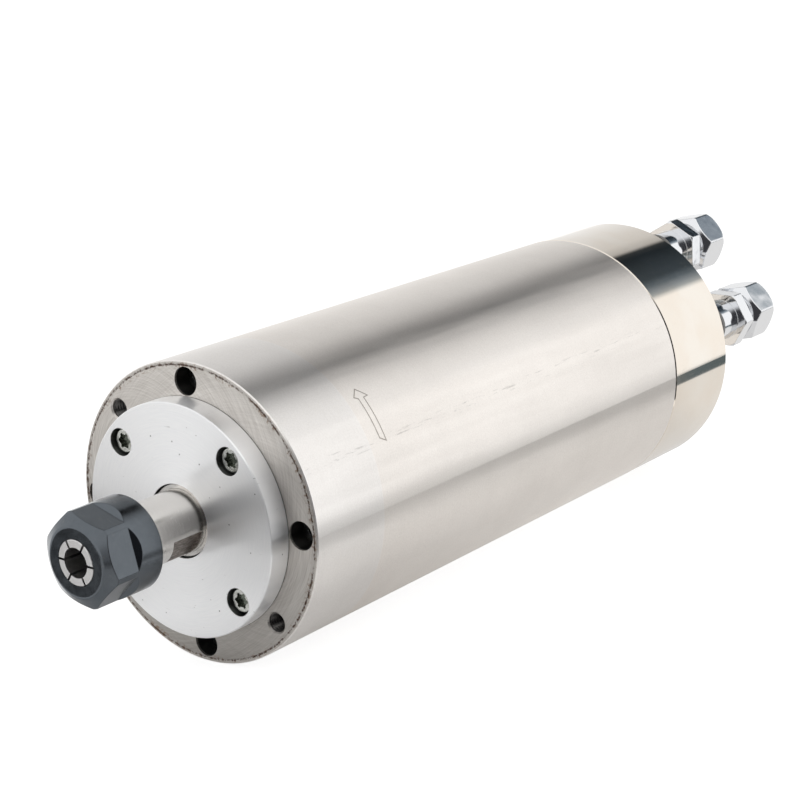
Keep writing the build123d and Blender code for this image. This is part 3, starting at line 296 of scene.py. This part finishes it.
def polished_stainless():
    """The rear cap: polished to a warm mirror, with fine polishing rings and a few bluish scratches."""
    s = Surface("polished_stainless")
    rings = s.noise(s.stretched(0.25, 11.0, 0.25), 1.0, 4.0, 0.65)
    across = s.noise(s.stretched(0.9, 0.25, 3.5), 1.0, 5.0, 0.75, 1.5)
    cloud = s.noise(s.place, 0.09, 3.0)
    colour = s.mix(s.step(cloud, 0.35, 0.7), (0.86, 0.805, 0.73), (0.84, 0.765, 0.675))
    scratch = s.step(across, 0.60, 0.72)
    colour = s.mix(s.math("MULTIPLY", scratch, 0.35), colour, (0.72, 0.78, 0.82))
    rough = s.math("ADD", s.ranged(rings, 0.35, 0.75, 0.04, 0.09), s.math("MULTIPLY", scratch, 0.16))
    normal = s.bump(s.math("ADD", rings, s.math("MULTIPLY", scratch, 0.5)), 0.06, 0.01)
    return s.finish(colour, rough, normal=normal)


def turned_steel():
    """The flange: faced steel with crossing arcs, painted shade low down and in its holes, rusted at the rim."""
    s = Surface("turned_steel")
    arcs = s.lathe_lines(3.2, 0.12, (-14.0, 9.0), 3.0)
    crossing = s.lathe_lines(4.5, 0.12, (16.0, -3.0), 3.0)
    fine = s.lathe_lines(9.0, 0.3)
    tone = s.math("ADD", s.ranged(arcs, 0.3, 0.7, 0.0, 0.5), s.ranged(crossing, 0.3, 0.7, 0.0, 0.3))
    tone = s.math("ADD", tone, s.ranged(fine, 0.3, 0.7, 0.0, 0.3))
    colour = s.mix(tone, (0.50, 0.465, 0.43), (0.79, 0.76, 0.72))
    # painted shade: the colour darkens towards the bottom of the flange
    painted_low_shade = s.ramp(s.ranged(s.z, -SLEEVE_RADIUS, 6.0, 0.0, 1.0), [(0.0, 0.62), (1.0, 1.0)])
    colour = s.vector("MULTIPLY", colour, painted_low_shade)
    colour, rust = rim_rust(s, colour)
    # painted shade: deeper than 0.7 mm into the flange, in its holes, the steel is near black
    painted_hole_shade = s.step(s.y, 0.25, 0.7)
    colour = s.mix(painted_hole_shade, colour, (0.075, 0.072, 0.068))
    rough = s.math("ADD", s.ranged(arcs, 0.3, 0.7, 0.34, 0.44), s.math("MULTIPLY", rust, 0.3))
    normal = s.bump(s.math("ADD", arcs, s.math("MULTIPLY", crossing, 0.6)), 0.3, 0.02)
    return s.finish(colour, rough, normal=normal, anisotropic=0.7, turn=0.25)


def bright_aluminium():
    """The front cover: fine turned aluminium with flecks, nicks and small pits, and painted shade in its bores.
    """
    s = Surface("bright_aluminium")
    lines = s.lathe_lines(8.0, 0.3, detail=3.0)
    colour = s.mix(s.ranged(lines, 0.3, 0.7, 0.0, 1.0), (0.93, 0.935, 0.945), (0.99, 0.99, 0.99))
    flecks = s.step(s.cells(s.place, 1.3).outputs["Distance"], 0.16, 0.10)
    colour = s.mix(s.math("MULTIPLY", flecks, s.step(s.noise(s.place, 0.25), 0.5, 0.65)), colour, (1.0, 1.0, 1.0))
    nick = s.noise(s.stretched(0.5, 0.5, 2.4), 1.0, 4.0, 0.65, 0.6)
    colour = s.mix(s.math("MULTIPLY", s.step(nick, 0.70, 0.74), 0.6), colour, (0.16, 0.15, 0.14))
    cell = s.cells(s.place, 0.42)
    pits = s.step(cell.outputs["Distance"], 0.085, 0.05)
    few = s.step(s.axes(cell.outputs["Color"])[0], 0.55, 0.6)
    colour = s.mix(s.math("MULTIPLY", s.math("MULTIPLY", pits, few), 0.75), colour, (0.10, 0.09, 0.08))
    # painted shade: the walls of the bores behind the front face are near black
    inside = s.math("MULTIPLY", s.step(s.y, -4.97, -4.75), s.step(s.radius, 23.6, 23.2))
    colour = s.mix(inside, colour, (0.085, 0.09, 0.085))
    base = s.step(s.y, -0.35, -0.02)
    colour = s.mix(s.math("MULTIPLY", base, 0.8), colour, (0.12, 0.115, 0.11))
    normal = s.bump(lines, 0.1, 0.005, s.rounded(0.12))
    return s.finish(colour, 0.36, normal=normal, anisotropic=0.95, turn=0.25)


def shaft_steel():
    """Ground steel, with milled wrench flats that have browned."""
    s = Surface("shaft_steel")
    rings = s.noise(s.stretched(0.4, 9.0, 0.4), 1.0, 3.0, 0.6)
    colour = s.mix(rings, (0.70, 0.675, 0.645), (0.84, 0.82, 0.79))
    streaks = s.noise(s.stretched(3.0, 0.7, 3.0), 1.0, 4.0, 0.7)
    flat = s.math("MULTIPLY", s.step(s.radius, *FLAT_RADIUS), s.span(s.y, *FLAT_LENGTH, 0.05))
    brown = s.ramp(streaks, [
        (0.35, (0.10, 0.085, 0.075)), (0.5, (0.22, 0.19, 0.17)), (0.68, (0.42, 0.38, 0.35))])
    colour = s.mix(flat, colour, brown)
    rough = s.blend(flat, s.ranged(rings, 0.3, 0.7, 0.20, 0.28), 0.42)
    return s.finish(colour, rough, normal=s.bump(rings, 0.06, 0.01), anisotropic=0.6, turn=0.25)


def black_nut():
    """Black oxide over machined steel: blue-grey, with small patches of wear, and a painted dark reflection along
    its sharp edges.
    """
    s = Surface("black_nut")
    cloud = s.noise(s.place, 0.5, 3.0)
    fine = s.noise(s.place, 5.0, 3.0, 0.7)
    colour = s.mix(s.math("ADD", s.math("MULTIPLY", cloud, 0.7), s.math("MULTIPLY", fine, 0.3)),
                   (0.092, 0.104, 0.117), (0.148, 0.164, 0.181))
    # small patches of wear on the nut
    wear_and_glint = s.math("MULTIPLY", s.step(s.noise(s.place, 0.9, 3.0, 0.6), 0.64, 0.76), 0.3)
    colour = s.mix(wear_and_glint, colour, (0.22, 0.21, 0.20))
    # painted reflection: the colour is near black along the rounded edges, as if they mirrored dark
    colour = s.mix(s.math("MULTIPLY", s.edges(0.22), 0.75), colour, (0.02, 0.022, 0.025))
    rough = s.ranged(cloud, 0.3, 0.7, 0.17, 0.22)
    return s.finish(colour, rough, normal=s.bump(fine, 0.02, 0.01, s.rounded(0.12)))


def chrome(name, wave=0.25, edge=0.3):
    """Plated brass: bright, a little uneven, with rounded edges."""
    s = Surface(name)
    uneven = s.noise(s.place, wave, 1.0)
    fine = s.noise(s.place, 3.0, 3.0, 0.7)
    colour = s.mix(s.step(fine, 0.62, 0.78), (0.80, 0.81, 0.83), (0.68, 0.69, 0.70))
    rough = s.ranged(fine, 0.3, 0.75, 0.07, 0.11)
    normal = s.bump(uneven, 0.35, 0.2, s.rounded(edge))
    return s.finish(colour, rough, normal=s.bump(fine, 0.01, 0.01, normal))


def zinc_screw():
    """Zinc plate, with painted dark greenish shade inside the lobes of its recess."""
    s = Surface("zinc_screw")
    patch = s.noise(s.place, 1.6, 3.0, 0.7)
    fine = s.noise(s.place, 6.0, 2.0)
    colour = s.mix(s.step(patch, 0.35, 0.65), (0.62, 0.63, 0.58), (0.88, 0.89, 0.85))
    # painted shade: the recess below the head's top is dark greenish
    recess = s.span(s.y, COVER_SCREW_RECESS, 10.0, 0.1)
    colour = s.mix(s.math("MULTIPLY", recess, 0.85), colour, (0.085, 0.105, 0.075))
    rough = s.ranged(fine, 0.3, 0.7, 0.16, 0.28)
    return s.finish(colour, rough, normal=s.bump(patch, 0.15, 0.04, s.rounded(0.1)))


def black_screw():
    """Black oxide, with a painted grey highlight on the chamfer of the flange screws' heads."""
    s = Surface("black_screw")
    grain = s.noise(s.place, 2.5, 3.0, 0.6)
    colour = s.mix(grain, (0.085, 0.09, 0.09), (0.12, 0.125, 0.125))
    # painted highlight: a grey ring on the heads' chamfer, broken up by the grain
    wear_and_glint = s.math("MULTIPLY", s.span(s.y, *SCREW_HEAD_CHAMFER, 0.05), s.step(grain, 0.35, 0.55))
    colour = s.mix(s.math("MULTIPLY", wear_and_glint, 0.8), colour, (0.55, 0.55, 0.54))
    rough = s.ranged(grain, 0.3, 0.7, 0.22, 0.28)
    return s.finish(colour, rough, normal=s.bump(grain, 0.05, 0.02, s.rounded(0.15)))


def plain(name, colour, roughness, spread=0.12, metallic=1.0, bump=0.05, edge=0.0):
    """A finish with fine grain in its colour and its roughness."""
    s = Surface(name)
    grain = s.noise(s.place, 2.5, 3.0, 0.6)
    cloud = s.noise(s.place, 0.25, 2.0)
    dark = tuple(c * (1 - spread) for c in colour)
    light = tuple(min(1.0, c * (1 + spread)) for c in colour)
    shade = s.math("ADD", s.ranged(grain, 0.3, 0.7, 0.0, 0.6), s.ranged(cloud, 0.3, 0.7, 0.0, 0.4))
    rough = s.ranged(grain, 0.3, 0.7, roughness * 0.85, roughness * 1.15)
    normal = s.bump(grain, bump, 0.02, s.rounded(edge) if edge else None)
    return s.finish(s.mix(shade, dark, light), rough, metallic, normal)


def copper_windings():
    """Enamelled wire: fine strands along the slots."""
    s = Surface("winding_copper")
    strands = s.noise(s.stretched(5.0, 0.3, 5.0), 1.0, 2.0)
    colour = s.mix(strands, (0.36, 0.13, 0.06), (0.78, 0.36, 0.18))
    return s.finish(colour, 0.32, normal=s.bump(strands, 0.5, 0.08))


def laminations(name, dark, light):
    """A stack of thin sheets."""
    s = Surface(name)
    sheets = s.noise(s.stretched(0.2, 6.0, 0.2), 1.0, 2.0)
    return s.finish(s.mix(sheets, dark, light), 0.45, normal=s.bump(sheets, 0.3, 0.03))


FINISHES = {
    "ground_stainless": ground_stainless(),
    "polished_stainless": polished_stainless(),
    "turned_steel": turned_steel(),
    "bright_aluminium": bright_aluminium(),
    "shaft_steel": shaft_steel(),
    "black_nut": black_nut(),
    "zinc_screw": zinc_screw(),
    "fitting_chrome": chrome("fitting_chrome"),
    "socket_chrome": chrome("socket_chrome", 0.2, 0.2),
    "winding_copper": copper_windings(),
    "lamination_steel": laminations("lamination_steel", (0.18, 0.18, 0.19), (0.40, 0.40, 0.41)),
    "black_screw": black_screw(),
    "cast_aluminium": plain("cast_aluminium", (0.55, 0.55, 0.56), 0.5, bump=0.2),
    "seal_rubber": plain("seal_rubber", (0.02, 0.02, 0.022), 0.6, metallic=0.0),
    "gasket_fibre": plain("gasket_fibre", (0.16, 0.13, 0.09), 0.8, metallic=0.0, bump=0.2),
    "bearing_steel": plain("bearing_steel", (0.62, 0.61, 0.60), 0.22),
    "ball_steel": plain("ball_steel", (0.78, 0.78, 0.78), 0.08, spread=0.04),
    "cage_resin": plain("cage_resin", (0.42, 0.25, 0.10), 0.5, metallic=0.0),
    "spring_steel": plain("spring_steel", (0.45, 0.44, 0.42), 0.3),
    "rotor_aluminium": plain("rotor_aluminium", (0.70, 0.70, 0.71), 0.45),
    "lead_silicone": plain("lead_silicone", (0.45, 0.05, 0.04), 0.5, metallic=0.0),
    "collet_steel": plain("collet_steel", (0.80, 0.79, 0.78), 0.32, spread=0.02, bump=0.01, edge=0.1),
    "washer_fibre": plain("washer_fibre", (0.20, 0.195, 0.19), 0.6, metallic=0.0),
    "socket_resin": plain("socket_resin", (0.03, 0.03, 0.032), 0.4, metallic=0.0),
    "contact_gold": plain("contact_gold", (0.85, 0.62, 0.25), 0.2, spread=0.05),
}


def dress_cad():
    """Gives every CAD node the finish of its slot in the record."""
    for part in frame["record"]["subparts"]:
        piece = NODES[part["node"]]
        piece.data.materials.clear()
        piece.data.materials.append(FINISHES[part["material_slot"]])


# ---------------------------------------------------------------- added pieces
def add_piece(name, body, slot, vertices, faces):
    """A mesh piece in millimetres that rides on a body and wears a slot's finish."""
    mesh = bpy.data.meshes.new(name)
    mesh.from_pydata([Vector(v) * MM for v in vertices], [], faces)
    shape = bmesh.new()
    shape.from_mesh(mesh)
    bmesh.ops.recalc_face_normals(shape, faces=shape.faces)
    shape.to_mesh(mesh)
    shape.free()
    mesh.materials.append(FINISHES[slot])
    piece = bpy.data.objects.new(name, mesh)
    bpy.context.scene.collection.objects.link(piece)
    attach(piece, body)
    return piece


def thread(name, slot, centre, back, crest, root, pitch, start, end, around=32):
    """A screw thread along Y. back is its hidden side's radius, and crest and root are those of its ridges
    and grooves."""
    count = max(2, round((end - start) / pitch * STEPS_PER_PITCH))
    vertices, faces = [], []
    for i in range(count + 1):
        y = start + (end - start) * i / count
        for j in range(around):
            turn = 2 * math.pi * j / around
            phase = (y / pitch - j / around) % 1.0
            radius = crest + (root - crest) * abs(2 * phase - 1)
            for r in (radius, back):
                vertices.append((centre[0] + r * math.cos(turn), y, centre[1] + r * math.sin(turn)))
    row = 2 * around
    for i in range(count):
        for j in range(around):
            k = (j + 1) % around
            a, b, c, d = i * row + 2 * j, i * row + 2 * k, (i + 1) * row + 2 * k, (i + 1) * row + 2 * j
            faces += [(a, b, c, d), (d + 1, c + 1, b + 1, a + 1)]
    for base in (0, count * row):
        for j in range(around):
            k = (j + 1) % around
            faces.append((base + 2 * j, base + 2 * k, base + 2 * k + 1, base + 2 * j + 1))
    return add_piece(name, "housing", slot, vertices, faces)


def polar(radius, angle):
    return radius * math.cos(math.radians(angle)), radius * math.sin(math.radians(angle))


def ribbon_on_sleeve(name, outline, width, lift):
    """A line round an outline of (y, angle) points on the sleeve, as a thin raised strip."""
    points = []
    for (y0, a0), (y1, a1) in zip(outline, outline[1:] + outline[:1]):
        steps = max(1, int(abs(a1 - a0)))
        for i in range(steps):
            angle = a0 + (a1 - a0) * i / steps
            points.append(Vector((y0 + (y1 - y0) * i / steps, math.radians(angle) * SLEEVE_RADIUS)))
    count = len(points)
    vertices, faces = [], []
    for i, point in enumerate(points):
        into = (point - points[i - 1]).normalized()
        out = (points[(i + 1) % count] - point).normalized()
        along = (into + out).normalized()
        across = Vector((-along.y, along.x))
        half_corner = math.sqrt(max(0.0, (1 + into.dot(out)) / 2))
        mitre = width / 2 / max(0.5, half_corner)
        for side in (-1, 1):
            flat = point + across * mitre * side
            angle = flat.y / SLEEVE_RADIUS
            for r in (SLEEVE_RADIUS - 0.05, SLEEVE_RADIUS + lift):
                vertices.append((r * math.cos(angle), flat.x, r * math.sin(angle)))
    for i in range(count):
        a, b = 4 * i, 4 * ((i + 1) % count)
        faces += [(a + 1, b + 1, b + 3, a + 3), (a, a + 2, b + 2, b)]
        faces += [(a, b, b + 1, a + 1), (a + 2, a + 3, b + 3, b + 2)]
    return add_piece(name, "housing", "ground_stainless", vertices, faces)


def etched_steel():
    """The laser's mark on the sleeve."""
    s = Surface("etched_steel")
    fade = s.noise(s.place, 0.8, 3.0)
    return s.finish(s.mix(fade, (0.30, 0.265, 0.235), (0.52, 0.48, 0.44)), 0.5)


def tapped_steel():
    """The threads in the flange's tapped holes, where the light reaches them: steel darkened with painted shade.
    """
    s = Surface("tapped_steel")
    grain = s.noise(s.place, 3.0, 2.0)
    # painted shade: the threads' steel is kept dark inside the holes
    return s.finish(s.mix(grain, (0.085, 0.082, 0.078), (0.14, 0.135, 0.13)), 0.3)


def build_details():
    tapped = tapped_steel()
    arrow = ribbon_on_sleeve("rotation_arrow", ARROW, ARROW_LINE, ARROW_HEIGHT)
    arrow.data.materials[0] = etched_steel()
    distance, angles = TAPPED_HOLES
    for index, angle in enumerate(angles):
        turns = thread(f"flange_thread_{index + 1}", "turned_steel", polar(distance, angle), **TAPPED_THREAD)
        turns.data.materials[0] = tapped
    thread("socket_thread", "socket_chrome", polar(*SOCKET), **SOCKET_THREAD)
    distance, angles = FITTINGS
    for index, angle in enumerate(angles):
        thread(f"fitting_thread_{index + 1}", "fitting_chrome", polar(distance, angle), **FITTING_THREAD)


# ---------------------------------------------------------------- studio
def ceiling(g, turn, stops):
    """The brightness above the table, by angle about the spindle axis."""
    first, last = CEILING_ANGLES
    stops = [(first, stops[0][1]), *stops]
    return g.ramp(g.ranged(turn, first, last, 0.0, 1.0),
                  [((angle - first) / (last - first), level) for angle, level in stops])


def build_world():
    """A studio that is plain white to the camera. Metal sees a pale table, a dark gap past each side of the
    table, a bright wall, a dark gap in the ceiling, a dark corner and the dim room behind the camera. The sleeve,
    the cap and the fittings lie one behind another along Y, so each of them reflects its own range of the
    direction's y, and the room is set by that range to suit each of them in this camera's view."""
    world = bpy.data.worlds.new("studio")
    bpy.context.scene.world = world
    world.use_nodes = True
    g = Graph(world.node_tree)
    x, y, z = g.axes(g.node("ShaderNodeTexCoord").outputs["Generated"])
    turn = g.math("MULTIPLY", g.math("ARCTAN2", z, x), 180 / math.pi)
    side = g.math("MAXIMUM", g.math("ABSOLUTE", x), 0.001)
    front = g.step(y, 0.1, -0.2)
    at_cap = g.step(y, 0.834, 0.843)
    at_fittings = g.step(y, 0.859, 0.861)
    tilt = g.math("MULTIPLY", front, g.math("MULTIPLY", y, 0.066))
    slope = g.math("DIVIDE", g.math("SUBTRACT", z, tilt), side)

    behind = g.span(y, 0.815, 0.90, 0.015)
    upper = g.mix(behind, ceiling(g, turn, SLEEVE_CEILING), ceiling(g, turn, CAP_CEILING))
    upper = g.mix(front, upper, WALL_IN_FRONT)
    table = g.mix(at_cap, TABLE, TABLE_AT_CAP)
    room = g.mix(g.step(slope, -0.76, -0.72), table, upper)

    lift = g.ranged(y, 0.737, 0.81, 0.12, 0.0)
    right_gap = g.span(g.math("SUBTRACT", slope, lift), -0.737, -0.454, 0.02)
    left_gap = g.span(slope, -0.49, -0.31, 0.02)
    left = g.step(x, 0.0, -0.1)
    gap = g.blend(left, right_gap, g.math("MULTIPLY", left_gap, front))
    gap_colour = g.mix(front, g.mix(at_cap, GAP_AT_SLEEVE, GAP_AT_CAP), GAP_IN_FRONT)
    room = g.mix(gap, room, gap_colour)

    corner = g.math("MULTIPLY", g.span(turn, 100, 135, 3), at_fittings)
    room = g.mix(corner, room, CORNER_AT_FITTINGS)
    towards = g.node("ShaderNodeVectorMath", {0: g.join(x, y, z), 1: TOWARDS_CAMERA},
                     operation="DOT_PRODUCT").outputs["Value"]
    room = g.mix(g.step(towards, 0.76, 0.93), room, ROOM_BEHIND_CAMERA)

    seen = g.node("ShaderNodeLightPath").outputs["Is Camera Ray"]
    shown = g.mix(seen, room, (1.0, 1.0, 1.0))
    background = g.node("ShaderNodeBackground", {"Color": shown, "Strength": 1.0})
    output = g.node("ShaderNodeOutputWorld")
    g.tree.links.new(background.outputs[0], output.inputs[0])


def build_floor():
    """A pale floor. The camera sees it as white with the object's shadow. Metal sees it near the object, and the
    studio's table further out."""
    size = 3.0
    height = -SLEEVE_RADIUS * MM
    corners = [(-size, -size, height), (size, -size, height), (size, size, height), (-size, size, height)]
    mesh = bpy.data.meshes.new("floor")
    mesh.from_pydata(corners, [], [(0, 1, 2, 3)])
    floor = bpy.data.objects.new("floor", mesh)
    bpy.context.scene.collection.objects.link(floor)
    material = bpy.data.materials.new("floor_white")
    material.use_nodes = True
    g = Graph(material.node_tree)
    place = g.node("ShaderNodeTexCoord").outputs["Object"]
    grain = g.noise(place, 40.0)
    paper = g.mix(grain, (0.78, 0.78, 0.78), (0.82, 0.82, 0.82))
    x, y, _ = g.axes(place)
    middle, half_length = 0.07, 0.09
    from_middle = g.math("ABSOLUTE", g.math("SUBTRACT", y, middle))
    past = g.math("MAXIMUM", g.math("SUBTRACT", from_middle, half_length), 0.0)
    beside = g.step(g.length(g.join(x, past, 0.0)), 0.05, 0.03)
    near = g.math("MULTIPLY", beside, g.ranged(y, 0.02, 0.11, 0.85, 0.12))
    light = g.node("ShaderNodeLightPath")
    seen, mirrored = light.outputs["Is Camera Ray"], light.outputs["Is Glossy Ray"]
    diffuse = g.node("ShaderNodeBsdfDiffuse", {"Color": paper})
    clear = g.node("ShaderNodeBsdfTransparent")
    open_floor = g.math("MULTIPLY", g.math("SUBTRACT", 1.0, near), mirrored)
    table = g.node("ShaderNodeMixShader", {0: open_floor, 1: diffuse.outputs[0], 2: clear.outputs[0]})
    dim = g.node("ShaderNodeBsdfDiffuse", {"Color": (0.35, 0.35, 0.35)})
    glow = g.node("ShaderNodeEmission", {"Color": (1.0, 1.0, 1.0), "Strength": 0.85})
    both = g.node("ShaderNodeAddShader", {0: dim.outputs[0], 1: glow.outputs[0]})
    mixed = g.node("ShaderNodeMixShader", {0: seen, 1: table.outputs[0], 2: both.outputs[0]})
    output = g.node("ShaderNodeOutputMaterial")
    g.tree.links.new(mixed.outputs[0], output.inputs[0])
    mesh.materials.append(material)


def build_camera():
    data = bpy.data.cameras.new("camera")
    data.sensor_width = 36.0
    data.lens = CAMERA_LENS
    data.clip_start, data.clip_end = 0.01, 20.0
    camera = bpy.data.objects.new("camera", data)
    bpy.context.scene.collection.objects.link(camera)
    right, up, back = Vector(CAMERA_RIGHT), Vector(CAMERA_UP), Vector(CAMERA_BACK)
    place = Vector(CAMERA_PLACE) * MM
    camera.matrix_world = Matrix((
        (right.x, up.x, back.x, place.x), (right.y, up.y, back.y, place.y),
        (right.z, up.z, back.z, place.z), (0, 0, 0, 1)))
    bpy.context.scene.camera = camera


build_camera()
dress_cad()
build_details()
build_floor()
build_world()

scene = bpy.context.scene
scene.view_settings.view_transform = "Standard"
